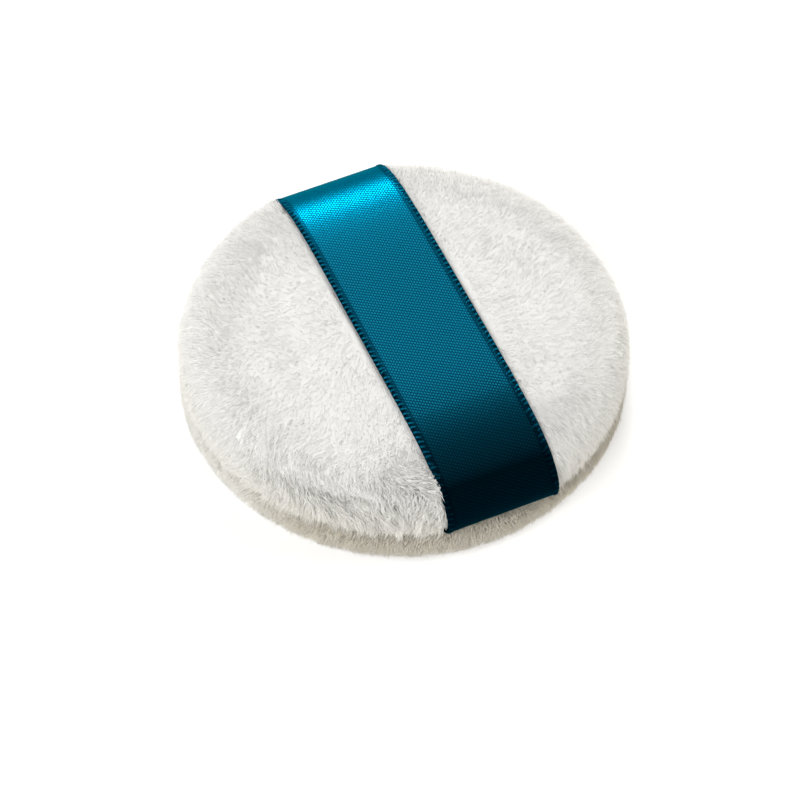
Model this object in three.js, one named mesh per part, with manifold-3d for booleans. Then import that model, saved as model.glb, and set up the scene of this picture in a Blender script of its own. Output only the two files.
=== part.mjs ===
// A round plush powder puff with a satin finger ribbon across its back.
// Millimetres, +Z up. The origin is the middle of the powder face, on which the puff rests,
// and the ribbon runs along Y.
//
// Two plush discs, the upper and the lower cover, are sewn together right sides in, turned
// and closed over a sponge disc. Their seam allowances lie inside, against each other, and the
// ends of the ribbon are caught between them. A lockstitch runs round the seam, apart from the
// gap through which the puff is turned and filled: a hand-sewn running stitch closes that.
import * as THREE from 'three';
import { mergeVertices } from 'three/addons/utils/BufferGeometryUtils.js';
import Module from 'manifold-3d';

const wasm = await Module();
wasm.setup();

// Driving dimensions
const puffDiameter = 60; // across the upper cover, over its pile
const faceInset = 0.4; // rim of the lower cover, inside the upper one's
const lowerPile = 2.4; // pile of the powder face
const upperPile = 5.8; // pile of the back, at its middle
const rimPile = 4.3; // pile of the back, at its rim
const backing = 0.8; // knitted ground of the plush
const coreThickness = 4.6; // sponge disc
const coreEdgeRadius = 1.1; // rounding of its edges
const crownRise = 1.4; // middle of the back above its shoulder
const footRadius = 3.2; // rounding from the powder face up to the lower cover's widest line
const rollRadius = 2.65; // rounding from the seam up to the upper cover's widest line
const seamRise = 1.9; // seam above the cavity's floor
const allowanceWidth = 3.2; // seam allowance, turned inwards
const seamGap = 0.1; // between the two seam allowances
const stitchInset = 1.2; // stitch line, from the fold of the seam
const fit = 0.3; // clearance between soft pieces that lie against each other

const ribbonWidth = 15.7;
const ribbonThickness = 0.3;
const ribbonOffset = 1.3; // the ribbon is sewn a little off centre
const ribbonSink = 0.4; // how far the ribbon presses into the pile, at the crown
const ribbonPull = 1.2; // and at the rim
const tailSetback = 0.2; // ribbon's cut ends, outside the raw edges of the allowances

const stitchLength = 4.4;
const turningGap = 24; // length of seam that is closed by hand, along the stitch line
const threadDiameter = 0.24;
const threadGap = 0.2; // between a thread and what it lies on or passes through
const loopReach = 0.45; // half the width of a stitch's loop in its needle hole

// Counts
const turns = 48; // facets round the puff
const arcSteps = 3; // half the facets along each arc of a cover's outline
const ribbonArcSteps = 6; // half the facets along each arc of the ribbon
const holeSides = 6;
const threadSides = 4;

// Levels, from the powder face upwards
const cavityFloor = lowerPile + backing;
const cavityCeiling = cavityFloor + coreThickness + 2 * fit;
const seamHeight = cavityFloor + seamRise;
const upperSeam = seamHeight + seamGap / 2;
const lowerSeam = seamHeight - seamGap / 2;
const upperRimHeight = upperSeam + rollRadius;
const crownHeight = cavityCeiling + backing + upperPile;
const shoulderRadius = crownHeight - crownRise - upperRimHeight;

// Radii, from the rim inwards
const upperRadius = puffDiameter / 2;
const lowerRadius = upperRadius - faceInset;
const shoulderCentre = upperRadius - shoulderRadius;
const foldRadius = upperRadius - rimPile - backing;
const allowanceRadius = foldRadius - allowanceWidth;
const coreRadius = allowanceRadius - fit;
const stitchRadius = foldRadius - stitchInset;
const holeRadius = loopReach + threadDiameter / 2 + threadGap;

const rightAngle = Math.PI / 2;

const materials = {
  plush: new THREE.MeshStandardMaterial({ color: 0xefeee8, roughness: 0.95, metalness: 0 }),
  sponge: new THREE.MeshStandardMaterial({ color: 0xf3efe2, roughness: 0.9, metalness: 0 }),
  satin: new THREE.MeshStandardMaterial({ color: 0x05587a, roughness: 0.35, metalness: 0 }),
  thread: new THREE.MeshStandardMaterial({ color: 0xf4f2ec, roughness: 0.8, metalness: 0 }),
};

// Booleans

function solidOf(geometry) {
  const bare = geometry.clone();
  bare.deleteAttribute('normal');
  bare.deleteAttribute('uv');
  const merged = mergeVertices(bare);
  return new wasm.Manifold(new wasm.Mesh({
    numProp: 3,
    vertProperties: merged.attributes.position.array,
    triVerts: new Uint32Array(merged.index.array),
  }));
}

function geometryOf(solid) {
  const mesh = solid.getMesh();
  return new THREE.BufferGeometry()
    .setAttribute('position', new THREE.BufferAttribute(mesh.vertProperties, 3))
    .setIndex(new THREE.BufferAttribute(mesh.triVerts, 1));
}

function cut(geometry, cutters) {
  return geometryOf(cutters.reduce((rest, cutter) => rest.subtract(cutter), solidOf(geometry)));
}

// Round pieces

// A crown is an arc over the axis that meets the shoulder's arc without a corner. The two arcs
// touch where one line runs through both centres, which gives the crown's radius and its centre.
function crownArc(rise, shoulder) {
  const height = rise + shoulderRadius;
  const radius = (shoulder ** 2 + height ** 2 - shoulderRadius ** 2) / (2 * rise);
  const centre = upperRimHeight + height - radius;
  return { radius, centre, halfAngle: Math.atan2(shoulder, upperRimHeight - centre) };
}

function lathe(outline) {
  return new THREE.LatheGeometry(outline.getPoints(arcSteps), turns).rotateX(rightAngle);
}

function upperCoverGeometry() {
  const crown = crownArc(crownRise, shoulderCentre);
  const shoulderStart = rightAngle - crown.halfAngle;
  const flange = upperSeam + backing;
  const outline = new THREE.Path();
  outline.moveTo(0, cavityCeiling);
  outline.lineTo(foldRadius, cavityCeiling);
  outline.lineTo(foldRadius, flange);
  outline.lineTo(allowanceRadius, flange);
  outline.lineTo(allowanceRadius, upperSeam);
  outline.absarc(upperRadius - rollRadius, upperRimHeight, rollRadius, -rightAngle, 0, false);
  outline.absarc(shoulderCentre, upperRimHeight, shoulderRadius, 0, shoulderStart, false);
  outline.absarc(0, crown.centre, crown.radius, shoulderStart, rightAngle, false);
  return lathe(outline);
}

function lowerCoverGeometry() {
  const flange = lowerSeam - backing;
  const lowerRoll = lowerSeam - footRadius;
  const outline = new THREE.Path();
  outline.moveTo(0, 0);
  outline.lineTo(lowerRadius - footRadius, 0);
  outline.absarc(lowerRadius - footRadius, footRadius, footRadius, -rightAngle, 0, false);
  outline.absarc(lowerRadius - lowerRoll, footRadius, lowerRoll, 0, rightAngle, false);
  outline.lineTo(allowanceRadius, lowerSeam);
  outline.lineTo(allowanceRadius, flange);
  outline.lineTo(foldRadius, flange);
  outline.lineTo(foldRadius, cavityFloor);
  outline.lineTo(0, cavityFloor);
  return lathe(outline);
}

function spongeGeometry() {
  const bottom = cavityFloor + fit;
  const edgeCentre = coreRadius - coreEdgeRadius;
  const outline = new THREE.Path();
  outline.moveTo(0, bottom);
  outline.lineTo(edgeCentre, bottom);
  outline.absarc(edgeCentre, bottom + coreEdgeRadius, coreEdgeRadius, -rightAngle, 0, false);
  outline.absarc(edgeCentre, bottom + coreThickness - coreEdgeRadius, coreEdgeRadius, 0, rightAngle, false);
  outline.lineTo(0, bottom + coreThickness);
  return lathe(outline);
}

// Ribbon

// A band is drawn from the side, as (y, z), and extruded across the ribbon's width.
function acrossRibbon(shape, width) {
  const options = { depth: width, bevelEnabled: false, curveSegments: ribbonArcSteps };
  return new THREE.ExtrudeGeometry(shape, options)
    .translate(0, 0, -width / 2)
    .applyMatrix4(new THREE.Matrix4().makeBasis(
      new THREE.Vector3(0, 1, 0), new THREE.Vector3(0, 0, 1), new THREE.Vector3(1, 0, 0),
    ));
}

// The ribbon is pulled tight, so its shoulders lie inside the upper cover's. Its stretches reach
// from a depth under its middle line to a height over it.

// The free span, from one widest line of the upper cover over the crown to the other.
function bandShape(under, over) {
  const shoulder = shoulderCentre - ribbonPull;
  const crown = crownArc(crownRise - ribbonSink, shoulder);
  const start = rightAngle - crown.halfAngle;
  const shape = new THREE.Shape();
  shape.absarc(shoulder, upperRimHeight, shoulderRadius + over, 0, start, false);
  shape.absarc(0, crown.centre, crown.radius + over, start, Math.PI - start, false);
  shape.absarc(-shoulder, upperRimHeight, shoulderRadius + over, Math.PI - start, Math.PI, false);
  shape.absarc(-shoulder, upperRimHeight, shoulderRadius - under, Math.PI, Math.PI - start, true);
  shape.absarc(0, crown.centre, crown.radius - under, Math.PI - start, start, true);
  shape.absarc(shoulder, upperRimHeight, shoulderRadius - under, start, 0, true);
  return shape;
}

// One sewn end: it rolls under the upper cover's rim and runs into the seam. The top stands
// below the free span by the gap, which is 0 where the two are one cutter.
function endShape(under, over, gap) {
  const roll = upperRimHeight - seamHeight;
  const rollCentre = upperRadius - ribbonPull - roll;
  const tailEnd = allowanceRadius + tailSetback;
  const start = -gap / roll;
  const shape = new THREE.Shape();
  shape.moveTo(tailEnd, seamHeight + under);
  shape.lineTo(rollCentre, seamHeight + under);
  shape.absarc(rollCentre, upperRimHeight, roll - under, -rightAngle, start, false);
  shape.absarc(rollCentre, upperRimHeight, roll + over, start, -rightAngle, true);
  shape.lineTo(tailEnd, seamHeight - over);
  return shape;
}

// The free span and the two sewn ends, all with one depth, height and width.
function ribbonStretches(under, over, width, gap) {
  const band = acrossRibbon(bandShape(under, over), width);
  const back = acrossRibbon(endShape(under, over, gap), width);
  const front = back.clone().rotateZ(Math.PI);
  return [band, back, front].map((stretch) => stretch.translate(ribbonOffset, 0, 0));
}

// Seam

// Needle holes stand round the stitch line at even angles, about one stitch length apart. The
// turning gap lies on the +X side, clear of the ribbon's ends, and takes a whole number of stitches.
const stitchCount = Math.round(2 * Math.PI * stitchRadius / stitchLength);
const closingStitches = Math.max(2, Math.round(turningGap / stitchLength));
const lockStitches = stitchCount - closingStitches - 2;
const stitchAngle = 2 * Math.PI / stitchCount;
const lockStart = (closingStitches / 2 + 1) * stitchAngle;
const closingStart = -(closingStitches / 2) * stitchAngle;

const lockHoles = Array.from({ length: lockStitches + 1 }, (_, i) => lockStart + i * stitchAngle);
const closingHoles = Array.from({ length: closingStitches + 1 }, (_, i) => closingStart + i * stitchAngle);

function needleHoles() {
  const length = 2 * (backing + seamGap);
  return [...lockHoles, ...closingHoles].map((angle) => solidOf(
    new THREE.CylinderGeometry(holeRadius, holeRadius, length, holeSides)
      .rotateX(rightAngle)
      .translate(stitchRadius * Math.cos(angle), stitchRadius * Math.sin(angle), seamHeight),
  ));
}

// A point of a thread, from its needle hole: how far along the seam, how far out and how high.
function stitchPoint(angle, along, out, height) {
  const turned = angle + along / stitchRadius;
  const radius = stitchRadius + out;
  return new THREE.Vector3(radius * Math.cos(turned), radius * Math.sin(turned), seamHeight + height);
}

// A thread bends only at its listed points, so it is sampled at those and nowhere else.
class Thread extends THREE.Curve {
  constructor(points) {
    super();
    this.points = points;
  }

  getPoint(t) {
    const at = Math.min(t, 1) * (this.points.length - 1);
    const i = Math.min(Math.floor(at), this.points.length - 2);
    return this.points[i].clone().lerp(this.points[i + 1], at - i);
  }

  getUtoTmapping(u) {
    return u;
  }
}

function threadGeometry(points) {
  const section = new THREE.Shape(Array.from({ length: threadSides }, (_, i) => {
    const angle = 2 * Math.PI * i / threadSides;
    return new THREE.Vector2(Math.cos(angle), Math.sin(angle)).multiplyScalar(threadDiameter / 2);
  }));
  return new THREE.ExtrudeGeometry(section, {
    steps: points.length - 1, extrudePath: new Thread(points), bevelEnabled: false,
  });
}

const floatHeight = seamGap / 2 + backing + threadGap + threadDiameter / 2;
const lockDepth = (threadDiameter + threadGap) / 2;

// The needle thread lies on the upper allowance, and its loop in each hole stands along the seam.
function needleThreadPoints() {
  return lockHoles.flatMap((angle) => [
    stitchPoint(angle, -loopReach, 0, floatHeight),
    stitchPoint(angle, -loopReach, 0, -lockDepth),
    stitchPoint(angle, loopReach, 0, -lockDepth),
    stitchPoint(angle, loopReach, 0, floatHeight),
  ]);
}

// The bobbin thread lies under the lower allowance. Its loop stands across the seam and passes
// over the needle thread's, so that the two hold each other between the allowances.
function bobbinThreadPoints() {
  return lockHoles.flatMap((angle) => [
    stitchPoint(angle, 0, -loopReach, -floatHeight),
    stitchPoint(angle, 0, -loopReach, lockDepth),
    stitchPoint(angle, 0, loopReach, lockDepth),
    stitchPoint(angle, 0, loopReach, -floatHeight),
  ]);
}

// The closing thread runs over the upper allowance and under the lower one by turns.
function closingThreadPoints() {
  return closingHoles.flatMap((angle, i) => {
    const side = i % 2 ? 1 : -1;
    return [
      stitchPoint(angle, 0, 0, -side * floatHeight),
      stitchPoint(angle, 0, 0, side * floatHeight),
    ];
  });
}

// Assembly

const puff = new THREE.Group();

function addPiece(name, geometry, material) {
  const mesh = new THREE.Mesh(geometry, material);
  mesh.name = name;
  puff.add(mesh);
  return mesh;
}

const holes = needleHoles();
const halfRibbon = ribbonThickness / 2;
const room = halfRibbon + fit;
const roomWidth = ribbonWidth + 2 * fit;
const slit = ribbonStretches(room, room, roomWidth, 0).map(solidOf);
const channel = ribbonStretches(room, room + ribbonSink + ribbonPull, roomWidth, 0).map(solidOf);
const [band, backEnd, frontEnd] = ribbonStretches(halfRibbon, halfRibbon, ribbonWidth, fit);

addPiece('lower_cover', cut(lowerCoverGeometry(), [...slit, ...holes]), materials.plush);
addPiece('sponge_core', spongeGeometry(), materials.sponge);
addPiece('upper_cover', cut(upperCoverGeometry(), [...channel, ...holes]), materials.plush);

addPiece('ribbon_band', band, materials.satin);
addPiece('ribbon_end_back', cut(backEnd, holes), materials.satin);
addPiece('ribbon_end_front', cut(frontEnd, holes), materials.satin);

addPiece('seam_needle_thread', threadGeometry(needleThreadPoints()), materials.thread);
addPiece('seam_bobbin_thread', threadGeometry(bobbinThreadPoints()), materials.thread);
addPiece('closing_thread', threadGeometry(closingThreadPoints()), materials.thread);

export default puff;
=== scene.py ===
"""A round plush powder puff with a satin finger ribbon.

The frame gives the construction: two plush covers sewn round a sponge disc, with the ribbon's ends caught
in the seam. Here the covers get a padded ground and a pile of separate fibres, and the ribbon is one strip
of satin with wrapped selvedges, in two halves that meet at the middle.
"""
import math

import bpy
import numpy as np
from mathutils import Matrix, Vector


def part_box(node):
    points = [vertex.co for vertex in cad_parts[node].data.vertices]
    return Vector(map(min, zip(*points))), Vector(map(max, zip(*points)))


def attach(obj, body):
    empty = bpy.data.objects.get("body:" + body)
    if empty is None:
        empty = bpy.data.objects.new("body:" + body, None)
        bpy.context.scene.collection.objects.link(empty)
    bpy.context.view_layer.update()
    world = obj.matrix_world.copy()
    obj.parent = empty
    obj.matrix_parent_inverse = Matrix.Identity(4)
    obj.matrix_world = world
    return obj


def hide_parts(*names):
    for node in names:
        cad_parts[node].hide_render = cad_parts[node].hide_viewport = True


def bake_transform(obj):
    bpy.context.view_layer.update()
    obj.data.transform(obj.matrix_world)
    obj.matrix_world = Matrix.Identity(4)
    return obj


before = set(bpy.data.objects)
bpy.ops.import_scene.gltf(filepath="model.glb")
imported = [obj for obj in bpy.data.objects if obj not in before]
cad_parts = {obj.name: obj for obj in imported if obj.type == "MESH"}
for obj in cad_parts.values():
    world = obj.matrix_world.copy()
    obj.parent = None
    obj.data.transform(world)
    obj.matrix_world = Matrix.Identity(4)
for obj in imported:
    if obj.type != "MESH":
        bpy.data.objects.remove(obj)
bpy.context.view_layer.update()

MM = 0.001
DICE = np.random.default_rng(7)


# Sizes of the puff, from the frame and, where it gives none, in millimetres

UPPER_LOW, UPPER_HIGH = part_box("upper_cover")
LOWER_LOW, LOWER_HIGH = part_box("lower_cover")
SPONGE_LOW, SPONGE_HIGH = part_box("sponge_core")
BAND_LOW, BAND_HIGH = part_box("ribbon_band")
END_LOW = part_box("ribbon_end_back")[0]

UPPER_RADIUS = (UPPER_HIGH[0] - UPPER_LOW[0]) / 2
LOWER_RADIUS = (LOWER_HIGH[0] - LOWER_LOW[0]) / 2
UPPER_SEAM = UPPER_LOW[2]
LOWER_SEAM = LOWER_HIGH[2]
SEAM_HEIGHT = (UPPER_SEAM + LOWER_SEAM) / 2
CROWN_HEIGHT = 15 * MM
CROWN_RISE = 1.4 * MM
ROLL_RADIUS = 2.65 * MM
FOOT_RADIUS = 3.2 * MM
FOLD_RADIUS = 24.9 * MM
RIM_HEIGHT = UPPER_SEAM + ROLL_RADIUS
SHOULDER_RADIUS = CROWN_HEIGHT - CROWN_RISE - RIM_HEIGHT
SHOULDER_CENTRE = UPPER_RADIUS - SHOULDER_RADIUS
CAVITY_FLOOR = SPONGE_LOW[2] - 0.3 * MM
CAVITY_CEILING = SPONGE_HIGH[2] + 0.3 * MM

RIBBON_WIDTH = BAND_HIGH[0] - BAND_LOW[0]
RIBBON_MIDDLE = (BAND_HIGH[0] + BAND_LOW[0]) / 2
RIBBON_THICKNESS = 0.3 * MM
RIBBON_SINK = 0.4 * MM
RIBBON_REACH = BAND_HIGH[1] - RIBBON_THICKNESS / 2
TAIL_END = END_LOW[1]


# Meshes

def mesh_piece(name, points, faces, paint, uv=None):
    """A piece from (n, 3) points and (m, k) faces, with an optional map of (m, k, 2) places."""
    mesh = bpy.data.meshes.new(name)
    count, corners = faces.shape
    mesh.vertices.add(len(points))
    mesh.vertices.foreach_set("co", np.ascontiguousarray(points, np.float32).ravel())
    mesh.loops.add(count * corners)
    mesh.loops.foreach_set("vertex_index", np.ascontiguousarray(faces, np.int32).ravel())
    mesh.polygons.add(count)
    mesh.polygons.foreach_set("loop_start", np.arange(0, count * corners, corners, dtype=np.int32))
    mesh.polygons.foreach_set("use_smooth", np.ones(count, bool))
    if uv is not None:
        layer = mesh.uv_layers.new(name="OFBake")
        layer.data.foreach_set("uv", np.ascontiguousarray(uv, np.float32).ravel())
    mesh.update(calc_edges=True)
    mesh.validate()
    piece = bpy.data.objects.new(name, mesh)
    bpy.context.scene.collection.objects.link(piece)
    if paint is not None:
        mesh.materials.append(paint)
    return piece


def grid_faces(rows, columns, wrap):
    """The quads of a grid of points stored row by row. With wrap, the last column joins the first."""
    row = np.arange(rows - 1)[:, None]
    column = np.arange(columns if wrap else columns - 1)[None, :]
    after = (column + 1) % columns
    here, below = row * columns, (row + 1) * columns
    corners = [here + column, here + after, below + after, below + column]
    return np.stack(np.broadcast_arrays(*corners), -1).reshape(-1, 4)


def tube_faces(steps, sides):
    """The triangles of a closed tube whose rings are stored one after another: two for each cell of its
    wall, and a fan over each end."""
    wall = grid_faces(steps, sides, True)
    corner = np.arange(1, sides - 1)
    start = np.stack([0 * corner, corner + 1, corner], -1)
    end = (steps - 1) * sides + np.stack([0 * corner, corner, corner + 1], -1)
    return np.concatenate([wall[:, [0, 1, 2]], wall[:, [0, 2, 3]], start, end])


def unit(vectors):
    """The vectors, each divided by its length."""
    return vectors / np.maximum(np.linalg.norm(vectors, axis=-1, keepdims=True), 1e-12)


def ease(low, high, value):
    """0 up to low, 1 from high, and a smooth step between."""
    share = np.clip((value - low) / (high - low), 0, 1)
    return share * share * (3 - 2 * share)


# Outlines

def arc(centre, radius, start, end, steps):
    """Points (radius from the axis, height) along a circular arc."""
    angle = np.linspace(start, end, steps)
    return np.stack([centre[0] + radius * np.cos(angle), centre[1] + radius * np.sin(angle)], -1)


def crown_arc(rise, shoulder):
    """Radius, centre height and half angle of the arc over the axis that runs into the shoulder without a
    corner: the two arcs touch where one line passes through both centres."""
    height = rise + SHOULDER_RADIUS
    radius = (shoulder ** 2 + height ** 2 - SHOULDER_RADIUS ** 2) / (2 * rise)
    centre = RIM_HEIGHT + height - radius
    return radius, centre, math.atan2(shoulder, RIM_HEIGHT - centre)


class Outline:
    """A profile in (radius, height), measured along its length, with its outward normals and the area that
    it has swept round the axis so far."""

    def __init__(self, points):
        keep = np.append(True, np.linalg.norm(np.diff(points, axis=0), axis=1) > 1e-9)
        self.points = points[keep]
        steps = np.diff(self.points, axis=0)
        lengths = np.linalg.norm(steps, axis=1)
        self.along = np.append(0, np.cumsum(lengths))
        self.length = self.along[-1]
        tangents = unit(np.gradient(self.points, self.along, axis=0))
        self.normals = np.stack([tangents[:, 1], -tangents[:, 0]], -1)
        middle = (self.points[1:, 0] + self.points[:-1, 0]) / 2
        self.area = np.append(0, np.cumsum(2 * np.pi * middle * lengths))

    def at(self, along, values=None):
        """The points, or other values, at the given distances along the profile."""
        values = self.points if values is None else values
        return np.stack([np.interp(along, self.along, column) for column in values.T], -1)

    def over(self, points):
        """How far (radius, height) points stand outside the profile, and its normal there."""
        gaps = points[..., None, :] - self.points
        nearest = (gaps ** 2).sum(-1).argmin(-1)
        normal = self.normals[nearest]
        return ((points - self.points[nearest]) * normal).sum(-1), normal


def back_outline():
    """The upper cover's pile tips, from the seam over the roll and the shoulder to the crown's middle."""
    radius, centre, half = crown_arc(CROWN_RISE, SHOULDER_CENTRE)
    shoulder = (SHOULDER_CENTRE, RIM_HEIGHT)
    return Outline(np.concatenate([
        arc((UPPER_RADIUS - ROLL_RADIUS, RIM_HEIGHT), ROLL_RADIUS, -math.pi / 2, 0, 40),
        arc(shoulder, SHOULDER_RADIUS, 0, math.pi / 2 - half, 60),
        arc((0, centre), radius, math.pi / 2 - half, math.pi / 2, 120),
    ]))


def face_outline():
    """The lower cover's pile tips, from the middle of the powder face over the foot, up to the seam and
    2 mm into it."""
    roll = LOWER_SEAM - FOOT_RADIUS
    flat = LOWER_RADIUS - FOOT_RADIUS
    return Outline(np.concatenate([
        np.stack([np.linspace(0, flat, 100), np.zeros(100)], -1),
        arc((flat, FOOT_RADIUS), FOOT_RADIUS, -math.pi / 2, 0, 50),
        arc((LOWER_RADIUS - roll, FOOT_RADIUS), roll, 0, math.pi / 2, 40),
        np.array([[LOWER_RADIUS - roll - 1 * MM, LOWER_SEAM], [LOWER_RADIUS - roll - 2 * MM, LOWER_SEAM]]),
    ]))


# Materials

class Value:
    """A number worked out by a material: an output socket whose operators add Math nodes."""

    def __init__(self, paint, socket):
        self.paint, self.socket = paint, socket

    def maths(self, operation, *others):
        return self.paint.node("ShaderNodeMath", {"operation": operation}, dict(enumerate((self, *others))))

    def __add__(self, other):
        return self.maths("ADD", other)

    def __sub__(self, other):
        return self.maths("SUBTRACT", other)

    def __rsub__(self, other):
        return self.paint.node("ShaderNodeMath", {"operation": "SUBTRACT"}, {0: other, 1: self})

    def __mul__(self, other):
        return self.maths("MULTIPLY", other)

    def __truediv__(self, other):
        return self.maths("DIVIDE", other)

    __radd__ = __add__
    __rmul__ = __mul__


class Paint:
    """A material with its node tree. node() adds any node, and surface() sets the shader's sockets."""

    def __init__(self, name):
        self.material = bpy.data.materials.new(name)
        self.material.use_nodes = True
        self.tree = self.material.node_tree
        self.shader = self.tree.nodes["Principled BSDF"]

    def node(self, kind, settings=None, inputs=None, output=0):
        made = self.tree.nodes.new(kind)
        for key, value in (settings or {}).items():
            setattr(made, key, value)
        for key, value in (inputs or {}).items():
            self.join(made.inputs[key], value)
        return Value(self, made.outputs[output])

    def join(self, socket, value):
        if isinstance(value, Value):
            self.tree.links.new(value.socket, socket)
        elif socket.type == "RGBA" and len(value) == 3:
            socket.default_value = (*value, 1)
        else:
            socket.default_value = value

    def surface(self, **sockets):
        for key, value in sockets.items():
            self.join(self.shader.inputs[key.replace("_", " ")], value)
        return self.material

    def mix(self, share, first, second):
        """A colour between two colours."""
        return self.node("ShaderNodeMix", {"data_type": "RGBA"}, {0: share, 6: first, 7: second}, output=2)

    def rise(self, low, high, axis=2):
        """0 up to a height, or up to a place on another axis, 1 from a second one, and even between."""
        place = self.node("ShaderNodeTexCoord", output=3)
        height = self.node("ShaderNodeSeparateXYZ", None, {0: place}, output=axis)
        return ((height - low) / (high - low)).maths("MAXIMUM", 0).maths("MINIMUM", 1)

    def split_map(self):
        """The two numbers of the piece's own map."""
        place = self.node("ShaderNodeUVMap", {"uv_map": "OFBake"})
        parts = self.node("ShaderNodeSeparateXYZ", None, {0: place})
        return parts, Value(self, parts.socket.node.outputs[1])


# The ribbon's colour at grazing angles
GRAZING_TINT = (0.03, 0.68, 0.8)


def painted_front_shade(paint, colour, pale):
    """The colour on the front third of the puff, as painted shade, and the paler one from there to its
    sides and back, as painted light.
    """
    return paint.mix(paint.rise(-19 * MM, -9 * MM, axis=1), colour, pale)


def pile_paint(name, root, tip, low, pale=None):
    """Fibres: the map holds each fibre's own tone across and the way from root to tip upwards. The tips are
    a warmer tone low on the puff."""
    paint = Paint(name)
    tone, way = paint.split_map()
    end = paint.mix(paint.rise(4 * MM, 12 * MM), low, tip)
    if pale is not None:
        root, end = painted_front_shade(paint, root, pale), painted_front_shade(paint, end, pale)
    shade = paint.mix(way.maths("POWER", 0.6), root, end)
    tint = paint.mix(tone, (0.965, 0.96, 0.95), (1, 1, 1))
    blend = {"data_type": "RGBA", "blend_type": "MULTIPLY"}
    colour = paint.node("ShaderNodeMix", blend, {0: 1.0, 6: shade, 7: tint}, output=2)
    return paint.surface(
        Base_Color=colour, Roughness=0.6, Specular_IOR_Level=0.3, Sheen_Weight=0.25, Sheen_Roughness=0.5,
    )


def ground_paint(name, low, high, rough, pale=None):
    """The dense foot of the pile: fine mottling over a broad, faint change of tone. rough is the depth of
    the mottling."""
    paint = Paint(name)
    place = paint.node("ShaderNodeTexCoord", output=3)
    fine = paint.node("ShaderNodeTexNoise", None, {"Vector": place, "Scale": 2600.0, "Detail": 3.0})
    broad = paint.node("ShaderNodeTexNoise", None, {"Vector": place, "Scale": 160.0, "Detail": 2.0})
    colour = paint.mix(fine * 0.6 + broad * 0.4, low, high)
    if pale is not None:
        colour = painted_front_shade(paint, colour, pale)
    bump = paint.node("ShaderNodeBump", None, {"Strength": rough, "Distance": 0.0003, "Height": fine})
    return paint.surface(Base_Color=colour, Normal=bump, Roughness=0.95, Sheen_Weight=0.2)


def shaded_rough_ends(paint):
    """0 on the ribbon's span, up to 0.95 where it turns down into the seam: there its floats are rougher
    and their colour is painted dark, as shade. The front end is rougher and painted dark from further up."""
    back = 1 - paint.rise(RIM_HEIGHT + 1 * MM, RIM_HEIGHT + 4.6 * MM)
    front = (1 - paint.rise(RIM_HEIGHT + 4.4 * MM, RIM_HEIGHT + 6.8 * MM)).maths("POWER", 0.55)
    behind = paint.rise(-1 * MM, 1 * MM, axis=1)
    return (front + behind * (back - front)) * 0.95


def satin_paint():
    """Satin weave on the ribbon's own map, in millimetres: warp floats lie side by side along the ribbon,
    and each is tied down at regular points that step from float to float, so the ties form slanting rows.
    The last millimetre at each edge is a plain, darker weave."""
    paint = Paint("satin")
    across, along = paint.split_map()
    float_pitch, tie_pitch, step = 0.31, 0.52, 0.4
    column = (across / float_pitch).maths("FLOOR")
    beside = ((across / float_pitch).maths("FRACT") - 0.5) * 2
    tie = ((along / tie_pitch + column * step).maths("FRACT") - 0.5) * 2
    height = (1 - beside * beside * 0.8) * (1 - tie * tie)
    edge = across.maths("ABSOLUTE") - (RIBBON_WIDTH / 2 / MM - 1.25)
    plain = 1 - (edge * 5).maths("MINIMUM", 1).maths("MAXIMUM", 0) * 0.75
    rough_and_shade = shaded_rough_ends(paint)
    # Colour follows the weave's height: painted shade in the hollows between floats and at the ties.
    colour = paint.mix(height * plain, (0.0004, 0.014, 0.03), (0.004, 0.112, 0.182))
    # Near the seam the satin's colour is painted almost black: painted shade on the ribbon's ends.
    colour = paint.mix(rough_and_shade, colour, (0.0001, 0.0024, 0.005))
    bump = paint.node("ShaderNodeBump", None, {"Strength": 1.0, "Distance": 0.00001, "Height": height})
    return paint.surface(
        Base_Color=colour, Normal=bump, Roughness=0.42 - height * 0.2 + rough_and_shade * 0.4,
        Metallic=1.0, Specular_Tint=GRAZING_TINT,
    )


def selvedge_paint():
    """The wrapped edge thread, with a twist along each wrap."""
    paint = Paint("selvedge")
    across, along = paint.split_map()
    twist = ((along * 6 + across * 2).maths("FRACT") - 0.5).maths("ABSOLUTE") * 2
    colour = paint.mix(twist, (0.002, 0.06, 0.11), (0.005, 0.15, 0.24))
    # The wraps are painted dark near the seam as well: painted shade on the ribbon's ends.
    colour = paint.mix(shaded_rough_ends(paint), colour, (0.0002, 0.005, 0.009))
    return paint.surface(Base_Color=colour, Metallic=1.0, Roughness=0.5, Specular_Tint=GRAZING_TINT)


def sponge_paint():
    """Open-cell foam: pale, with small pores."""
    paint = Paint("sponge")
    place = paint.node("ShaderNodeTexCoord", output=3)
    pores = paint.node("ShaderNodeTexVoronoi", None, {"Vector": place, "Scale": 1800.0})
    colour = paint.mix(pores, (0.55, 0.50, 0.40), (0.88, 0.84, 0.74))
    bump = paint.node("ShaderNodeBump", None, {"Strength": 0.6, "Distance": 0.0003, "Height": pores})
    return paint.surface(Base_Color=colour, Normal=bump, Roughness=0.9)


def thread_paint():
    """White spun thread with a fine twist."""
    paint = Paint("sewing_thread")
    place = paint.node("ShaderNodeTexCoord", output=3)
    twist = paint.node("ShaderNodeTexWave", None, {"Vector": place, "Scale": 1500.0, "Distortion": 1.0})
    colour = paint.mix(twist, (0.72, 0.70, 0.66), (0.92, 0.91, 0.88))
    return paint.surface(Base_Color=colour, Roughness=0.8)


# Camera and light

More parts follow.
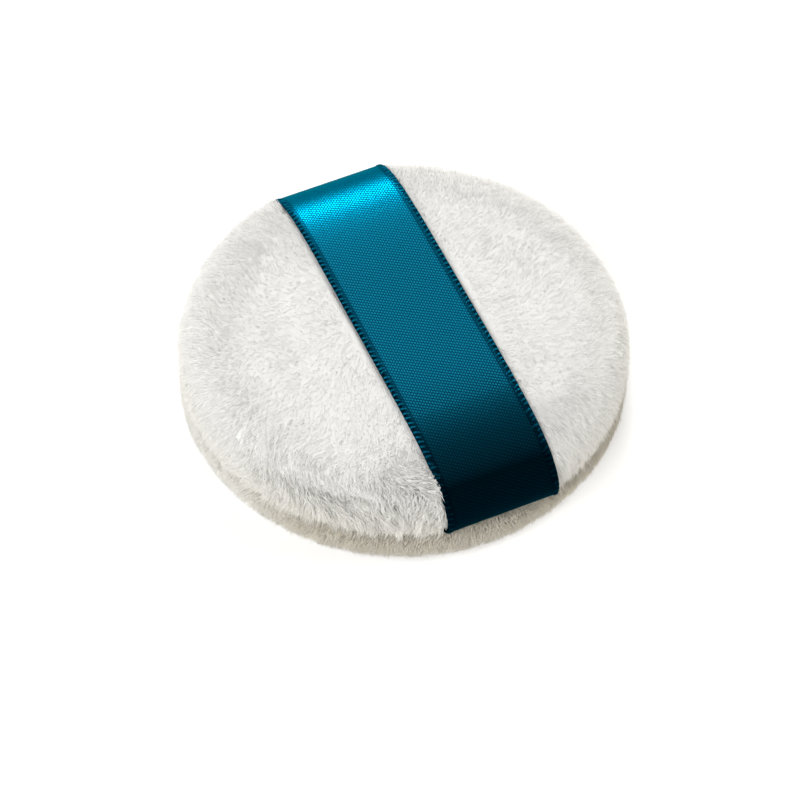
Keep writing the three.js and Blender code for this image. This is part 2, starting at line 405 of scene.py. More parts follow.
def set_camera():
    """The photograph's view: 53 degrees up, with the ribbon's far end to the left."""
    azimuth, elevation = math.radians(-23.97), math.radians(53.22)
    aim = Vector((-1.45 * MM, -2.29 * MM, 0))
    distance = 540 * MM
    focal_pixels, frame_pixels = 4067.6, 800
    back = Vector((
        math.sin(azimuth) * math.cos(elevation),
        -math.cos(azimuth) * math.cos(elevation),
        math.sin(elevation),
    ))
    data = bpy.data.cameras.new("camera")
    data.lens = data.sensor_width * focal_pixels / frame_pixels
    data.clip_start, data.clip_end = 0.01, 10
    camera = bpy.data.objects.new("camera", data)
    camera.location = aim + distance * back
    camera.rotation_mode = "QUATERNION"
    camera.rotation_quaternion = (-back).to_track_quat("-Z", "Y")
    bpy.context.scene.collection.objects.link(camera)
    bpy.context.scene.camera = camera


def area_light(name, azimuth, elevation, distance, width, height, power, colour):
    """A soft rectangular light in a direction from the puff, in degrees round from +X and up."""
    a, e = math.radians(azimuth), math.radians(elevation)
    way = Vector((math.cos(a) * math.cos(e), math.sin(a) * math.cos(e), math.sin(e)))
    data = bpy.data.lights.new(name, "AREA")
    data.shape, data.size, data.size_y = "RECTANGLE", width, height
    data.energy, data.color = power, colour
    light = bpy.data.objects.new(name, data)
    light.location = way * distance
    light.rotation_mode = "QUATERNION"
    light.rotation_quaternion = way.to_track_quat("Z", "Y")
    bpy.context.scene.collection.objects.link(light)


def set_light():
    """A window and a strip light behind the puff, soft light from both sides, and a dark room."""
    lamps = (
        # Name, azimuth, elevation, distance, width, height, power and colour
        ("window", 70, 50, 1.2, 0.7, 0.5, 2.6, (1, 1, 1)),
        ("strip", 72, 28, 1.2, 0.45, 0.16, 7.8, (1, 0.99, 0.97)),
        ("left", 209, 36, 1.1, 1.2, 0.9, 15.8, (1, 1, 1)),
        ("right", -15, 24, 1.1, 0.9, 0.9, 9.2, (1, 0.98, 0.95)),
    )
    for lamp in lamps:
        area_light(*lamp)
    world = bpy.data.worlds.new("room")
    world.use_nodes = True
    background = world.node_tree.nodes["Background"]
    background.inputs["Color"].default_value = (1, 1, 1, 1)
    background.inputs["Strength"].default_value = 0.03
    bpy.context.scene.world = world


def studio():
    """The floor, which curves up into a low wall all round. It looks white to the camera and in
    reflections, apart from the puff's shadow, and glows more further out, where less light falls on it."""
    flat, wall, bend = 1.2, 0.1, 0.5
    profile = np.concatenate([
        np.stack([np.linspace(0, flat, 12), np.zeros(12)], -1),
        arc((flat, bend), bend, -math.pi / 2, 0, 16)[1:],
        np.array([[flat + bend, bend + wall]]),
    ])
    columns = 96
    turn = np.linspace(0, 2 * np.pi, columns, endpoint=False)
    radius, height = profile[:, :1], profile[:, 1:]
    points = np.stack([radius * np.cos(turn), radius * np.sin(turn), height + 0 * turn], -1).reshape(-1, 3)
    paint = Paint("studio_white")
    ray = paint.node("ShaderNodeLightPath")
    node = ray.socket.node
    seen = ray.maths("MAXIMUM", Value(paint, node.outputs["Is Glossy Ray"]))
    seen = seen.maths("MAXIMUM", Value(paint, node.outputs["Is Transmission Ray"]))
    place = paint.node("ShaderNodeTexCoord", output=3)
    away = paint.node("ShaderNodeVectorMath", {"operation": "LENGTH"}, {0: place}, output=1)
    far = (away - 0.25).maths("MAXIMUM", 0).maths("MINIMUM", 1)
    glow = seen * (0.3 + far * 0.42)
    paint.surface(
        Base_Color=(0.86, 0.86, 0.85), Roughness=0.9, Specular_IOR_Level=0.1,
        Emission_Color=glow, Emission_Strength=1.0,
    )
    floor = mesh_piece("studio", points, grid_faces(len(profile), columns, True), paint.material)


# Plush

# A cover's ground: its grid, the radius of its first ring at the axis, and how far its filling swells it
GROUND_TURNS = 144
GROUND_ROWS = 64
POLE_RADIUS = 0.3 * MM
SWELLING = 0.3 * MM


def waves(count, most_turns, shortest):
    """A smooth, uneven field over a cover, about -1 to 1: a sum of sines of the angle round the puff and
    the distance along the outline, each with its own direction and phase."""
    turns = DICE.integers(0, most_turns + 1, count)
    steep = DICE.uniform(-1, 1, count) * 2 * np.pi / shortest
    phase = DICE.uniform(0, 2 * np.pi, count)
    size = math.sqrt(2 / count)

    def field(turn, along):
        angles = turns * turn[..., None] + steep * along[..., None] + phase
        return size * np.sin(angles).sum(-1)

    return field


def mound(turn, along, place, reach):
    """A bell over a cover, 1 at place and falling off over reach, each as (degrees round, mm along)."""
    off = (np.degrees(turn) - place[0] + 180) % 360 - 180
    return np.exp(-(off / reach[0]) ** 2 - ((along / MM - place[1]) / reach[1]) ** 2)


def revolve(place):
    """Points (radius, height) carried round the axis. They are given for each row, and for each of its
    columns or once for all."""
    turn = np.linspace(0, 2 * np.pi, GROUND_TURNS, endpoint=False)
    radius, height = place[..., 0], place[..., 1]
    return np.stack([radius * np.cos(turn), radius * np.sin(turn), height + 0 * turn], -1)


def swell(grid, free, cap):
    """The pad after its filling has pressed it out: cloth with pressure inside and no gravity, for 20
    frames. free is how much each row may move, from 0 where the pad is sewn or rests to 1, and cap is the
    furthest. Cloth settings suit pieces of about a metre, so the pad is 20 times its size meanwhile."""
    enlarged, frames = 20, 20
    rows, columns = grid.shape[:2]
    pad = mesh_piece("pad_try", grid.reshape(-1, 3) * enlarged, tube_faces(rows, columns), None)
    held = pad.vertex_groups.new(name="held")
    for row in np.flatnonzero(free < 0.01):
        held.add(range(row * columns, (row + 1) * columns), 1, "REPLACE")
    settings = pad.modifiers.new("cloth", "CLOTH").settings
    settings.vertex_group_mass = "held"
    settings.mass = 0.01
    settings.quality = 5
    settings.use_pressure = True
    settings.uniform_pressure_force = 4
    settings.effector_weights.gravity = 0
    scene = bpy.context.scene
    for number in range(1, frames + 1):
        scene.frame_set(number)
    shaped = pad.evaluated_get(bpy.context.evaluated_depsgraph_get()).to_mesh()
    moved = np.empty(rows * columns * 3, np.float32)
    shaped.vertices.foreach_get("co", moved)
    shift = moved.reshape(rows, columns, 3) / enlarged - grid
    scene.frame_set(1)
    bpy.data.objects.remove(pad)
    far = np.linalg.norm(shift, axis=-1, keepdims=True)
    return grid + free[:, None, None] * shift * np.minimum(1, cap / np.maximum(far, 1e-9))


def pressed_in(points):
    """Points that the ribbon would lie on or cut through, pushed to 0.45 mm under its middle line."""
    place = np.stack([np.abs(points[..., 1]), points[..., 2]], -1)
    over, normal = ribbon_path().over(place)
    across = np.abs(points[..., 0] - RIBBON_MIDDLE)
    share = 1 - ease(RIBBON_WIDTH / 2 - 0.2 * MM, RIBBON_WIDTH / 2 + 0.8 * MM, across)
    share = share * (points[..., 2] > RIM_HEIGHT - 1.5 * MM)
    push = share * np.maximum(over + 0.45 * MM, 0)
    moved = points.copy()
    moved[..., 1] -= np.sign(points[..., 1]) * push * normal[..., 0]
    moved[..., 2] -= push * normal[..., 1]
    return moved


def sample_grid(grid, row, turn):
    """Grid values at fractional rows and at angles, by bilinear interpolation round the closed columns."""
    rows, columns = grid.shape[:2]
    row = np.clip(row, 0, rows - 1.001)
    column = (turn / (2 * np.pi) % 1) * columns
    i, j = row.astype(int), column.astype(int) % columns
    di, dj = (row - i)[..., None], (column - np.floor(column))[..., None]
    k = (j + 1) % columns
    near = grid[i, j] * (1 - dj) + grid[i, k] * dj
    far = grid[i + 1, j] * (1 - dj) + grid[i + 1, k] * dj
    return near * (1 - di) + far * di


def fibres(name, root, start, bend, length, width, tone, rings, paint):
    """Closed three-sided fibres, as one piece. Each follows root + length (start v + bend v v / 2), with v
    from 0 to 1, and narrows from its width to a point. Its map holds its tone across and v upwards."""
    count = len(root)
    v = np.linspace(0, 1, rings + 1)[:, None, None]
    path = root + length[:, None] * (start * v + bend * v * v / 2)
    heading = unit(start + bend * v)
    side = unit(np.cross(heading, unit(DICE.normal(size=(count, 3)))))
    other = np.cross(heading, side)
    angle = np.arange(3) * 2 * np.pi / 3
    thick = (width[:, None] * (1 - 0.75 * v[:-1] ** 1.5))[:, :, None, :] / 2
    turn = np.cos(angle)[:, None] * side[:-1, :, None, :] + np.sin(angle)[:, None] * other[:-1, :, None, :]
    rim = path[:-1, :, None, :] + thick * turn
    stride = 3 * rings + 1
    points = np.concatenate([rim.transpose(1, 0, 2, 3).reshape(count, -1, 3), path[-1][:, None, :]], 1)
    corner = np.arange(3)
    after = (corner + 1) % 3
    faces, spread, rise = [[(0, 2, 1)]], [[(0, 2, 1)]], [[(0, 0, 0)]]
    for ring in range(rings - 1):
        low, high = 3 * ring, 3 * ring + 3
        faces.append(np.stack([low + corner, low + after, high + after], -1))
        faces.append(np.stack([low + corner, high + after, high + corner], -1))
        spread += [np.stack([corner, corner + 1, corner + last], -1) for last in (1, 0)]
        rise += [np.tile((ring, ring, ring + 1), (3, 1)), np.tile((ring, ring + 1, ring + 1), (3, 1))]
    low = 3 * (rings - 1)
    faces.append(np.stack([low + corner, low + after, np.full(3, stride - 1)], -1))
    spread.append(np.stack([corner, corner + 1, corner + 0.5], -1))
    rise.append(np.tile((rings - 1, rings - 1, rings), (3, 1)))
    faces, spread, rise = (np.concatenate(part) for part in (faces, spread, rise))
    all_faces = (np.arange(count)[:, None, None] * stride + faces).reshape(-1, 3)
    u = 0.02 + 0.93 * tone[:, None, None] + 0.01 * spread
    w = np.broadcast_to(0.02 + 0.96 * rise / rings, u.shape)
    return mesh_piece(name, points.reshape(-1, 3), all_faces, paint, np.stack([u, w], -1).reshape(-1, 3, 2))


class Plush:
    """A cover: the outline of its pile's tips, its padded ground, and the looks of its pile along the
    outline as (distance in mm, value) stops. Where ruffle(turn, along) is 1 instead of 0, the stops in
    ruffled hold, and dent(turn, along) is how far the pile gives way. inner is the pad's hidden side; the
    whole profile runs round the pad from axis to axis, so inner comes first where the outline starts at the
    seam. free is how far the filling may move the pad, as stops too."""

    def __init__(self, name, slot, outline, inner, looks, ruffled, ruffle, dent, free, under_ribbon):
        self.name, self.slot, self.outline = name, slot, outline
        self.looks, self.ruffled, self.ruffle, self.dent = looks, ruffled, ruffle, dent
        self.under_ribbon = under_ribbon
        self.swirl = waves(9, 5, 9 * MM)
        self.tufts = waves(9, 9, 5 * MM)
        turn = np.linspace(0, 2 * np.pi, GROUND_TURNS, endpoint=False)
        along = np.linspace(0, outline.length, GROUND_ROWS)[:, None]
        depth = self.look("depth", along, ruffle(turn, along)) + dent(turn, along)
        free = np.interp(along[:, 0] / MM, *zip(*free))
        lumps = self.look("lumps", along, 0) * waves(12, 6, 9 * MM)(turn, along)
        smaller = (SWELLING + lumps) * free[:, None]
        normal = outline.at(along, outline.normals)
        place = outline.at(along) - normal * (depth + smaller)[..., None]
        place[..., 0] = np.maximum(place[..., 0], POLE_RADIUS)
        hidden, still = revolve(inner[:, None]), np.zeros(len(inner))
        first = len(inner) if outline.points[0, 0] > outline.points[-1, 0] else 0
        if first:
            self.pad = swell(np.concatenate([hidden, revolve(place)]), np.append(still, free), SWELLING)
        else:
            self.pad = swell(np.concatenate([revolve(place), hidden]), np.append(free, still), SWELLING)
        if under_ribbon:
            self.pad = pressed_in(self.pad)
        self.skin = self.pad[first:first + GROUND_ROWS]

    def look(self, key, along, ruffle):
        """A look's value at distances along the outline."""
        smooth = np.interp(along / MM, *zip(*self.looks[key]))
        if key not in self.ruffled:
            return smooth + 0 * ruffle
        return smooth + ruffle * (np.interp(along / MM, *zip(*self.ruffled[key])) - smooth)

    def ground(self, node, paint):
        """The padded ground as a piece."""
        rows, columns = self.pad.shape[:2]
        piece = mesh_piece(f"{self.name}_ground", self.pad.reshape(-1, 3), tube_faces(rows, columns), paint)
        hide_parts(node)
        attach(piece, "puff")

    def plant(self, clumps, each, span, stray, grows=None, lift=0.0, spread=0.95):
        """Fibres in clumps over a stretch of the cover. Clump i of n lies where the area from the stretch's
        start is i/n of the whole, a golden angle on from the last, so that clumps cover it evenly. Fibres
        stand round their clump's middle, lean with the swirl of the pile and draw together at their tips,
        which end at the outline. stray is the share that stands loose, grows(turn, along) the share that
        grows, lift how far they stand out of the rest, and spread a clump's radius as a share of the
        clumps' spacing."""
        outline = self.outline
        low, high = np.interp(span, outline.along, outline.area)
        share = (np.arange(clumps) + DICE.random(clumps)) / clumps
        middle = np.interp(low + share * (high - low), outline.area, outline.along)
        golden = np.arange(clumps) * math.pi * (3 - math.sqrt(5))
        turn = golden + DICE.normal(0, 0.5 / math.sqrt(clumps), clumps)
        spacing = math.sqrt((high - low) / clumps)
        shape = (clumps, each)
        reach = spacing * spread * np.sqrt(DICE.random(shape))
        spin = DICE.random(shape) * 2 * np.pi
        radius = np.maximum(outline.at(middle)[:, 0], 0.5 * MM)
        along = np.clip(middle[:, None] + reach * np.cos(spin), 0.02 * MM, outline.length - 0.02 * MM)
        around = turn[:, None] + reach * np.sin(spin) / radius[:, None]

        root = sample_grid(self.skin, along / outline.length * (GROUND_ROWS - 1), around)
        flat = outline.at(along, outline.normals)
        outward = np.stack([np.cos(around), np.sin(around), 0 * around], -1)
        normal = unit(flat[..., :1] * outward + flat[..., 1:] * np.array([0, 0, 1.0]))
        sideways = np.stack([-np.sin(around), np.cos(around), 0 * around], -1)
        downhill = -np.cross(normal, sideways)

        ruffle = self.ruffle(around, along)
        look = {key: self.look(key, along, ruffle) for key in self.looks}
        own_way = np.clip(DICE.normal(0, 1, clumps), -1.6, 1.6)[:, None]
        sway = look["sway"] * self.swirl(around, along) + look["jitter"] * own_way
        sway = sway + DICE.normal(0, 0.15, shape)
        lean_way = np.cos(sway)[..., None] * downhill + np.sin(sway)[..., None] * sideways

        across = np.abs(root[..., 0] - RIBBON_MIDDLE)
        beside = ease(RIBBON_WIDTH / 2 - 0.8 * MM, RIBBON_WIDTH / 2 - 0.1 * MM, across)
        pressed = self.under_ribbon * (1 - beside)
        loose = (DICE.random(shape) < stray) & (pressed < 0.05)
        flat_root, flat_tip = 1.35, 1.5
        first = look["lean_root"] + (flat_root - look["lean_root"]) * pressed + DICE.normal(0, 0.08, shape)
        last = look["lean_tip"] + (flat_tip - look["lean_tip"]) * pressed + DICE.normal(0, 0.08, shape)
        first = np.where(loose, 0.6 * first, first)
        last = np.where(loose, first + 0.3, last)
        start = np.cos(first)[..., None] * normal + np.sin(first)[..., None] * lean_way
        end = np.cos(last)[..., None] * normal + np.sin(last)[..., None] * lean_way
        uneven = 1 + 0.12 * self.tufts(around, along) + DICE.normal(0, 0.08, shape)
        parted = 1 - 0.5 * self.dent(around, along - 1.3 * MM) / MM
        length = np.maximum(look["length"] * uneven * (1 - 0.5 * pressed) * parted, 0.3 * MM)
        drift = (np.sin(spin) * reach)[..., None] * sideways
        drift = drift + (np.cos(spin) * reach)[..., None] * np.cross(normal, sideways)
        pull = look["pull"] * DICE.random((clumps, 1)) ** 0.5
        bend = end - start - 2 * drift * (pull / length)[..., None]

        tip = root + length[..., None] * (start + bend / 2)
        tip_radius = np.hypot(tip[..., 0], tip[..., 1])
        outside, way = outline.over(np.stack([tip_radius, tip[..., 2]], -1))
        own_reach = np.clip(DICE.normal(0, 1, (clumps, 1)), -1.6, 1.3)
        limit = lift + look["hang"] + look["ragged"] * (own_reach + 0.5 * DICE.normal(0, 1, shape))
        limit = np.where(loose, limit + (0.1 + 0.6 * DICE.random(shape)) * MM, limit)
        limit = limit - 0.8 * self.dent(around, along)
        excess = outside - limit
        excess = np.where(excess > 0, excess, 0.6 * excess)
        inward = np.stack([way[..., 0] * np.cos(around), way[..., 0] * np.sin(around), way[..., 1]], -1)
        bend = bend - 2 * inward * (excess / length)[..., None]
        tip = root + length[..., None] * (start + bend / 2)
        bend = bend + 2 * self.clearance(root, tip) / length[..., None]

        tone = 0.5 + 0.18 * self.tufts(around, along) + DICE.normal(0, 0.16, (clumps, 1))
        tone = tone + DICE.normal(0, 0.12, shape)
        share = look["cover"] * np.where(along < 4 * MM, 1 - pressed, 1 - 0.3 * (pressed > 0.95))
        if grows is not None:
            share = share * grows(around, along)
        keep = DICE.random(shape) < share
        width = look["width"] * np.where(loose, 0.6, 1 + DICE.normal(0, 0.12, shape))
        made = {
            "root": root - normal * 0.08 * MM, "start": start, "bend": bend, "length": length,
            "width": width, "tone": np.clip(tone, 0, 1),
        }
        return {key: values[keep] for key, values in made.items()}

    def clearance(self, root, tip):
        """How far tips move to stay over the floor, beside the ribbon and, if it covers them, under it."""
        move = np.zeros_like(tip)
        move[..., 2] = np.maximum(0.1 * MM - tip[..., 2], 0)
        if not self.under_ribbon:
            return move
        edge = RIBBON_WIDTH / 2
        beside = np.abs(root[..., 0] - RIBBON_MIDDLE) > edge
        hand = np.sign(root[..., 0] - RIBBON_MIDDLE)
        within = edge + 0.1 * MM - hand * (tip[..., 0] - RIBBON_MIDDLE)
        move[..., 0] = np.where(beside, hand * np.maximum(within, 0), 0)
        over, normal = ribbon_path().over(np.stack([np.abs(tip[..., 1]), tip[..., 2]], -1))
        push = np.where(beside | (tip[..., 2] < RIM_HEIGHT - 2 * MM), 0, np.maximum(over + 0.24 * MM, 0))
        move[..., 1] -= np.sign(tip[..., 1]) * push * normal[..., 0]
        move[..., 2] -= push * normal[..., 1]
        return move

    def grow(self, name, planted, pieces, rings, paint):
        """Planted fibres as several pieces, one for each equal sector of the puff."""
        root = planted["root"]
        sector = ((np.arctan2(root[:, 1], root[:, 0]) / (2 * np.pi) + 0.5) * pieces).astype(int) % pieces
        for index in range(pieces):
            part = {key: values[sector == index] for key, values in planted.items()}
            piece = fibres(f"{name}_{index + 1}", rings=rings, paint=paint, **part)
            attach(piece, "puff")


def upper_plush():
    """The puff's back: velvety pile on the crown that lies down towards the rim, tousled at the front left,
    with a parting there."""
    flange = UPPER_SEAM + 0.8 * MM
    inner = np.array([
        [POLE_RADIUS, CAVITY_CEILING], [12 * MM, CAVITY_CEILING], [FOLD_RADIUS, CAVITY_CEILING],
        [FOLD_RADIUS, flange], [21.7 * MM, flange], [21.7 * MM, UPPER_SEAM + 0.2 * MM],
        [25.5 * MM, UPPER_SEAM + 0.2 * MM],
    ])
    looks = {
        "lumps": [(0, 0.06 * MM), (8, 0.04 * MM), (16, 0.02 * MM), (38, 0.0)],
        "depth": [(0, 0.8 * MM), (3, 0.5 * MM), (6, 0.32 * MM), (13, 0.28 * MM), (17, 0.28 * MM)],
        "length": [(0, 2.8 * MM), (3, 2.3 * MM), (6, 1.7 * MM), (11, 1.3 * MM), (18, 0.9 * MM)],
        "lean_root": [(0, 0.85), (3, 1.05), (6, 1.2), (12, 1.2), (16, 1.15)],
        "lean_tip": [(0, 1.25), (5, 1.5), (16, 1.5)],
        "sway": [(0, 0.3), (8, 0.25), (20, 0.3)],
        "jitter": [(0, 0.12), (8, 0.08), (20, 0.08)],
        "pull": [(0, 0.2), (9, 0.1), (13, 0.0)],
        "width": [(0, 0.10 * MM), (9, 0.08 * MM), (14, 0.06 * MM)],
        "hang": [(0, 1.9 * MM), (2, 1.0 * MM), (4, 0.3 * MM), (9, 0.3 * MM), (13, 0.1 * MM), (17, 0.0)],
        "ragged": [(0, 0.4 * MM), (2, 0.3 * MM), (5, 0.12 * MM), (9, 0.08 * MM), (14, 0.03 * MM)],
        "cover": [(0, 0.85), (6, 0.8), (13, 0.8), (18, 0.6)],
    }
    ruffled = {
        "depth": [(0, 1.1 * MM), (3, 1.3 * MM), (9, 0.9 * MM), (13, 0.5 * MM), (17, 0.3 * MM)],
        "length": [(0, 2.8 * MM), (3, 3.4 * MM), (9, 2.4 * MM), (13, 1.5 * MM), (18, 1.0 * MM)],
        "lean_root": [(0, 0.7), (8, 0.85), (16, 0.9)],
        "lean_tip": [(0, 1.15), (8, 1.3), (16, 1.3)],
        "sway": [(0, 0.5), (8, 1.0), (14, 1.3), (20, 1.6)],
        "jitter": [(0, 0.35), (6, 0.5), (20, 0.5)],
        "pull": [(0, 1.0), (6, 0.95), (9, 0.75), (13, 0.5), (18, 0.2)],
        "width": [(0, 0.12 * MM), (9, 0.11 * MM), (14, 0.08 * MM)],
        "hang": [(0, 1.9 * MM), (2, 0.6 * MM), (4, -0.6 * MM), (8, -0.6 * MM), (11, 0.0), (17, 0.0)],
        "ragged": [(0, 0.45 * MM), (3, 0.3 * MM), (9, 0.2 * MM), (14, 0.12 * MM)],
        "cover": [(0, 0.75), (6, 0.48), (12, 0.75)],
    }

    def ruffle(turn, along):
        front = 1.3 * mound(turn, along, (-130, 5.9), (30, 2.9))
        beside_ribbon = 1.3 * mound(turn, along, (-109, 11), (13, 6.5))
        return np.minimum(1, front + beside_ribbon)

    def dent(turn, along):
        return 1.4 * MM * mound(turn, along, (-129, 7.2), (10, 1.2))

    free = [(0, 0), (3, 1), (40, 1)]
    cover = Plush(
        "upper", "back_plush", back_outline(), inner, looks, ruffled, ruffle, dent, free,
        under_ribbon=True,
    )
    # The ground is painted darker than the pile: painted shade under the fibres.
    ground = ground_paint("upper_ground", (0.69, 0.685, 0.665), (0.73, 0.73, 0.715), rough=0.12)
    cover.ground("upper_cover", ground)
    low = (0.92, 0.885, 0.80)
    rim = pile_paint("upper_rim_pile", (0.94, 0.925, 0.89), (0.975, 0.975, 0.965), low)
    # The crown's pile is painted darker than the rim's: painted shade on the top, where more light falls.
    crown = pile_paint("upper_crown_pile", (0.735, 0.725, 0.705), (0.785, 0.785, 0.775), low)
    # The locks' roots are painted brown: painted shade under and between the locks.
    lock = pile_paint("upper_locks", (0.60, 0.565, 0.50), (0.985, 0.985, 0.975), low)
    shoulder = 12.5 * MM

    def rim_share(turn, along):
        return ease(shoulder + 4 * MM, shoulder - 2 * MM, along)

    def crown_share(turn, along):
        return ease(shoulder - 3 * MM, shoulder + 3 * MM, along)

    def lock_share(turn, along):
        front = mound(turn, along, (-131, 6), (28, 3.2))
        beside_ribbon = mound(turn, along, (-108, 8), (12, 5))
        return np.maximum(ease(0.3, 0.6, front), 0.7 * ease(0.3, 0.6, beside_ribbon))

    rim_span = (0, shoulder + 4 * MM)
    crown_span = (shoulder - 3 * MM, cover.outline.length)
    lock_span = (2.5 * MM, 12 * MM)
    rim_pile = cover.plant(2900, 20, rim_span, stray=0.16, grows=rim_share)
    crown_pile = cover.plant(5600, 10, crown_span, stray=0.02, grows=crown_share)
    locks = cover.plant(850, 30, lock_span, stray=0.05, grows=lock_share, lift=1.2 * MM, spread=0.42)
    cover.grow("upper_rim_pile", rim_pile, pieces=4, rings=3, paint=rim)
    cover.grow("upper_crown_pile", crown_pile, pieces=3, rings=2, paint=crown)
    cover.grow("upper_locks", locks, pieces=1, rings=3, paint=lock)


def lower_plush():
    """The powder face and its rim: shorter, denser pile, pressed flat where the puff rests."""
    flange = LOWER_SEAM - 0.8 * MM
    inner = np.array([
        [25.5 * MM, LOWER_SEAM - 0.2 * MM], [21.7 * MM, LOWER_SEAM - 0.2 * MM], [21.7 * MM, flange],
        [FOLD_RADIUS, flange], [FOLD_RADIUS, CAVITY_FLOOR], [12 * MM, CAVITY_FLOOR],
        [POLE_RADIUS, CAVITY_FLOOR],
    ])
    looks = {
        "lumps": [(0, 0.0), (26, 0.0), (30, 0.05 * MM)],
        "depth": [(0, 0.4 * MM), (25, 0.4 * MM), (28, 0.45 * MM), (31, 0.45 * MM), (34, 0.5 * MM)],
        "length": [(0, 0.9 * MM), (25, 1.0 * MM), (28, 1.6 * MM), (31, 1.9 * MM), (34, 1.9 * MM)],
        "lean_root": [(0, 0.9), (25, 0.9), (29, 1.05), (36, 0.9)],
        "lean_tip": [(0, 1.45), (25, 1.4), (29, 1.45), (36, 1.4)],
        "sway": [(0, 3.0), (22, 2.0), (28, 0.4), (36, 0.3)],
        "jitter": [(0, 0.6), (22, 0.5), (28, 0.15)],
        "pull": [(0, 0.2), (28, 0.3), (36, 0.3)],
        "width": [(0, 0.10 * MM), (36, 0.10 * MM)],
        "hang": [(0, -0.1 * MM), (26, -0.1 * MM), (29, 0.0), (36, 0.2 * MM)],
        "ragged": [(0, 0.0), (26, 0.02 * MM), (30, 0.10 * MM)],
        "cover": [(0, 1.0)],
    }
    ruffled = {
        "depth": [(0, 1.5 * MM)],
        "length": [(0, 2.1 * MM)],
        "lean_root": [(0, 0.5)],
        "lean_tip": [(0, 0.95)],
        "jitter": [(0, 0.5)],
        "pull": [(0, 0.85)],
        "cover": [(0, 0.5)],
    }
    free = [(0, 0), (24, 0), (27, 1), (31, 1), (33, 0)]

    def ruffle(turn, along):
        return mound(turn, along, (-70, 33.4), (13, 2.0))

    def nowhere(turn, along):
        return 0 * turn + 0 * along

    cover = Plush(
        "lower", "face_plush", face_outline(), inner, looks, ruffled, ruffle, nowhere, free,
        under_ribbon=False,
    )
    # The lower cover is paler on its sides and back than on its front: painted light and shade.
    pale = (0.89, 0.87, 0.82)
    ground = ground_paint("lower_ground", (0.62, 0.58, 0.49), (0.655, 0.62, 0.53), rough=0.5, pale=pale)
    cover.ground("lower_cover", ground)
    paint = pile_paint("lower_pile", (0.64, 0.60, 0.50), (0.72, 0.685, 0.605), (0.69, 0.645, 0.55), pale)
    foot, seam = 25.5 * MM, cover.outline.length
    rim_pile = cover.plant(1300, 20, (foot, seam), stray=0.14)
    cover.grow("lower_rim_pile", rim_pile, pieces=3, rings=3, paint=paint)
    seam_pile = cover.plant(750, 20, (seam - 4.5 * MM, seam), stray=0.0)
    cover.grow("lower_seam_pile", seam_pile, pieces=2, rings=3, paint=paint)
    face_pile = cover.plant(1500, 8, (0, foot), stray=0.0)
    cover.grow("powder_face_pile", face_pile, pieces=1, rings=2, paint=paint)


# Ribbon

def ribbon_path():
    """The ribbon's middle line on its back half, as (y, z): from the cut end along the seam, round the roll
    and over the crown to its middle. The span is a superellipse, (y / reach)^5 + (z / height)^2 = 1 over
    the rim, so it is nearly flat in the middle and turns down more and more towards the rim."""
    roll = RIM_HEIGHT - SEAM_HEIGHT
    height = CROWN_HEIGHT - RIBBON_SINK - RIM_HEIGHT
    turn = np.linspace(0, math.pi / 2, 160)
    span = np.stack([
        RIBBON_REACH * np.cos(turn) ** 0.4,
        RIM_HEIGHT + height * np.sin(turn),
    ], -1)
    return Outline(np.concatenate([
        np.stack([np.linspace(TAIL_END, RIBBON_REACH - roll, 10), np.full(10, SEAM_HEIGHT)], -1),
        arc((RIBBON_REACH - roll, RIM_HEIGHT), roll, -math.pi / 2, 0, 40),
        span,
    ]))


def ribbon_frame(path, along, side):
    """Points and outward normals of the ribbon's middle line at distances along one half. side is 1 for the
    back half and -1 for the front one."""
    flat = path.at(along)
    normal = path.at(along, path.normals)
    zero = np.zeros_like(along)
    point = np.stack([zero + RIBBON_MIDDLE, side * flat[..., 0], flat[..., 1]], -1)
    return point, unit(np.stack([zero, side * normal[..., 0], normal[..., 1]], -1))


def ribbon_half(name, path, side, paint):
    """Half of the strip, as a closed slab: a flat section with round edges carried along the middle line.
    Its map is in millimetres, across and along. The edges round its two ends are sharp."""
    across_steps, along_steps = 24, 160
    along = np.linspace(0, path.length, along_steps)
    point, normal = ribbon_frame(path, along, side)
    half_width = RIBBON_WIDTH / 2 - 0.17 * MM
    flat = np.linspace(-half_width, half_width, across_steps)
    thick = RIBBON_THICKNESS / 2
    section = np.concatenate([
        np.stack([flat, np.full(across_steps, thick)], -1),
        [[half_width + thick, 0]],
        np.stack([flat[::-1], np.full(across_steps, -thick)], -1),
        [[-half_width - thick, 0]],
    ])
    if side > 0:
        section = section[::-1]
    columns = len(section)
    points = (
        point[:, None, :]
        + section[:, 0, None] * np.array([1.0, 0, 0])
        + section[:, 1, None] * normal[:, None, :]
    )
    faces = tube_faces(along_steps, columns)
    from_middle = side * (path.length - along[faces // columns])
    place = np.stack([section[faces % columns, 0] / MM, from_middle / MM], -1)
    piece = mesh_piece(name, points.reshape(-1, 3), faces, paint, place)
    ring = np.arange(along_steps * columns) // columns
    edges = piece.data.edges
    ends = np.empty(2 * len(edges), np.int32)
    edges.foreach_get("vertices", ends)
    ends = ring[ends.reshape(-1, 2)]
    round_end = (ends[:, 0] == ends[:, 1]) & np.isin(ends[:, 0], (0, along_steps - 1))
    edges.foreach_set("use_edge_sharp", round_end)
    return piece


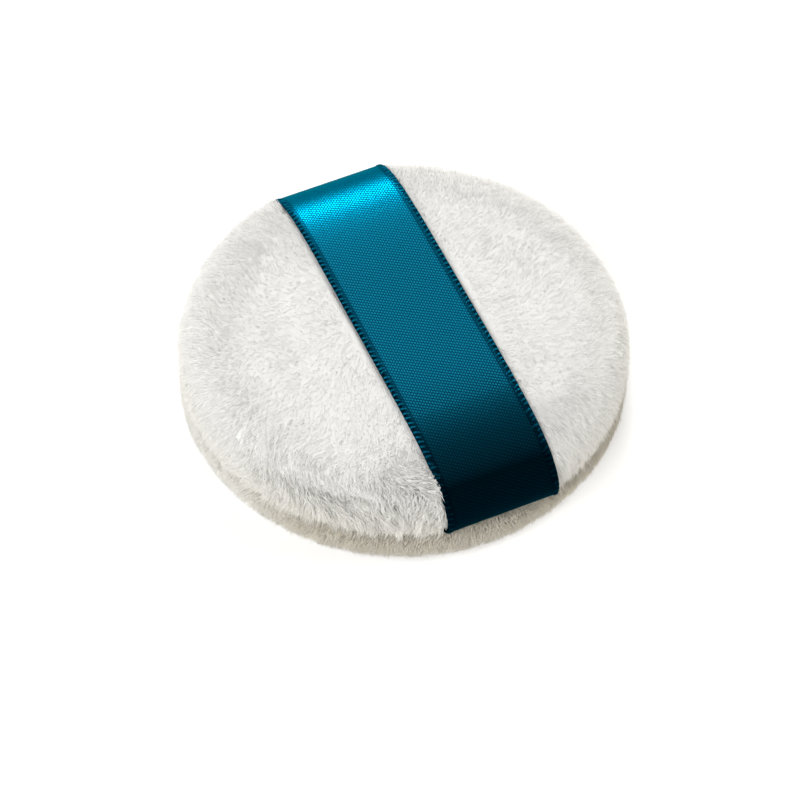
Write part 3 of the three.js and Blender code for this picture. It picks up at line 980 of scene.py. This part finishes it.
def selvedge_half(name, path, side, paint):
    """The wrapped edges of half of the strip. Each wrap is a short thread that lies on the face, turns
    round the edge and lies on the back: a path in a plane that slants across the ribbon, with a six-sided
    section."""
    pitch = 0.78 * MM
    count = int((path.length - 1.5 * MM) / pitch)
    thread = 0.07 * MM
    lift = RIBBON_THICKNESS / 2 + 0.2 * thread
    edge = RIBBON_WIDTH / 2
    path_out = np.array([-0.95, -0.75, -0.35, -0.12, -0.12, -0.35, -0.6]) * MM + edge
    path_up = np.array([0.4, 1.0, 1.05, 0.6, -0.6, -1.05, -0.3]) * lift
    line = np.stack([path_out, path_up], -1)
    heading = unit(np.gradient(line, axis=0))
    inplane = np.stack([-heading[:, 1], heading[:, 0]], -1)
    sides = 6
    angle = np.arange(sides) * 2 * np.pi / sides
    narrow = np.array([0.35, 0.9, 1.15, 1.1, 1.1, 1.0, 0.35]) * thread
    made_points, made_faces, made_uv = [], [], []
    for hand in (-1, 1):
        along = path.length - (np.arange(count) + 0.5 + DICE.normal(0, 0.05, count)) * pitch
        point, normal = ribbon_frame(path, along, side)
        forward = np.cross(normal, np.array([1.0, 0, 0]))
        outward = np.array([hand * 1.0, 0, 0])
        slant = DICE.normal(0.3, 0.15, count)[:, None, None]
        stretch = DICE.normal(1, 0.12, count)[:, None, None]
        inwards = (line[:, 0, None] - edge) * stretch
        centre = (
            point[:, None, :]
            + (edge + inwards) * outward
            + line[:, 1, None] * normal[:, None, :]
            + slant * inwards * forward[:, None, :]
        )
        cross = inplane[:, 0, None] * outward + inplane[:, 1, None] * normal[:, None, :]
        ring = (
            np.cos(angle)[:, None] * cross[:, :, None, :]
            + 1.9 * np.sin(angle)[:, None] * forward[:, None, None, :]
        ) * narrow[:, None, None]
        points = centre[:, :, None, :] + ring
        steps = len(line)
        faces = tube_faces(steps, sides)
        if hand * side > 0:
            faces = faces[:, ::-1]
        offset = sum(len(p) for p in made_points)
        base = np.arange(count)[:, None, None] * steps * sides + offset
        made_points.append(points.reshape(-1, 3))
        made_faces.append((base + faces).reshape(-1, 3))
        place = np.stack([faces % sides / sides, faces // sides / steps], -1)
        made_uv.append(np.broadcast_to(place, (count, *place.shape)).reshape(-1, 3, 2))
    points, faces, place = (np.concatenate(made) for made in (made_points, made_faces, made_uv))
    return mesh_piece(name, points, faces, paint, place)


def ribbon():
    """Two halves that meet at the middle of the crown."""
    path = ribbon_path()
    satin, selvedge = satin_paint(), selvedge_paint()
    for name, side, end_node in (("back", 1, "ribbon_end_back"), ("front", -1, "ribbon_end_front")):
        strip = ribbon_half(f"ribbon_{name}", path, side, satin)
        wraps = selvedge_half(f"{name}_selvedge", path, side, selvedge)
        slope = Vector((0, -side, 1.5)).normalized()
        held = Vector((0, side * TAIL_END, SEAM_HEIGHT))
        free = Vector((0, 0, path.points[-1, 1]))
        free = held + slope * (free - held).dot(slope)
        for piece in (strip, wraps):
            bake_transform(piece)
        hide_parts("ribbon_band", end_node)


# Carried-over pieces

def dress_inner_pieces():
    """The sponge and the threads keep their CAD shapes."""
    finishes = {"sponge_core": sponge_paint()}
    thread = thread_paint()
    for node in ("seam_needle_thread", "seam_bobbin_thread", "closing_thread"):
        finishes[node] = thread
    for node, finish in finishes.items():
        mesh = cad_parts[node].data
        mesh.materials.clear()
        mesh.materials.append(finish)


bpy.context.scene.view_settings.view_transform = "Standard"
set_camera()
set_light()
studio()
upper_plush()
lower_plush()
ribbon()
dress_inner_pieces()
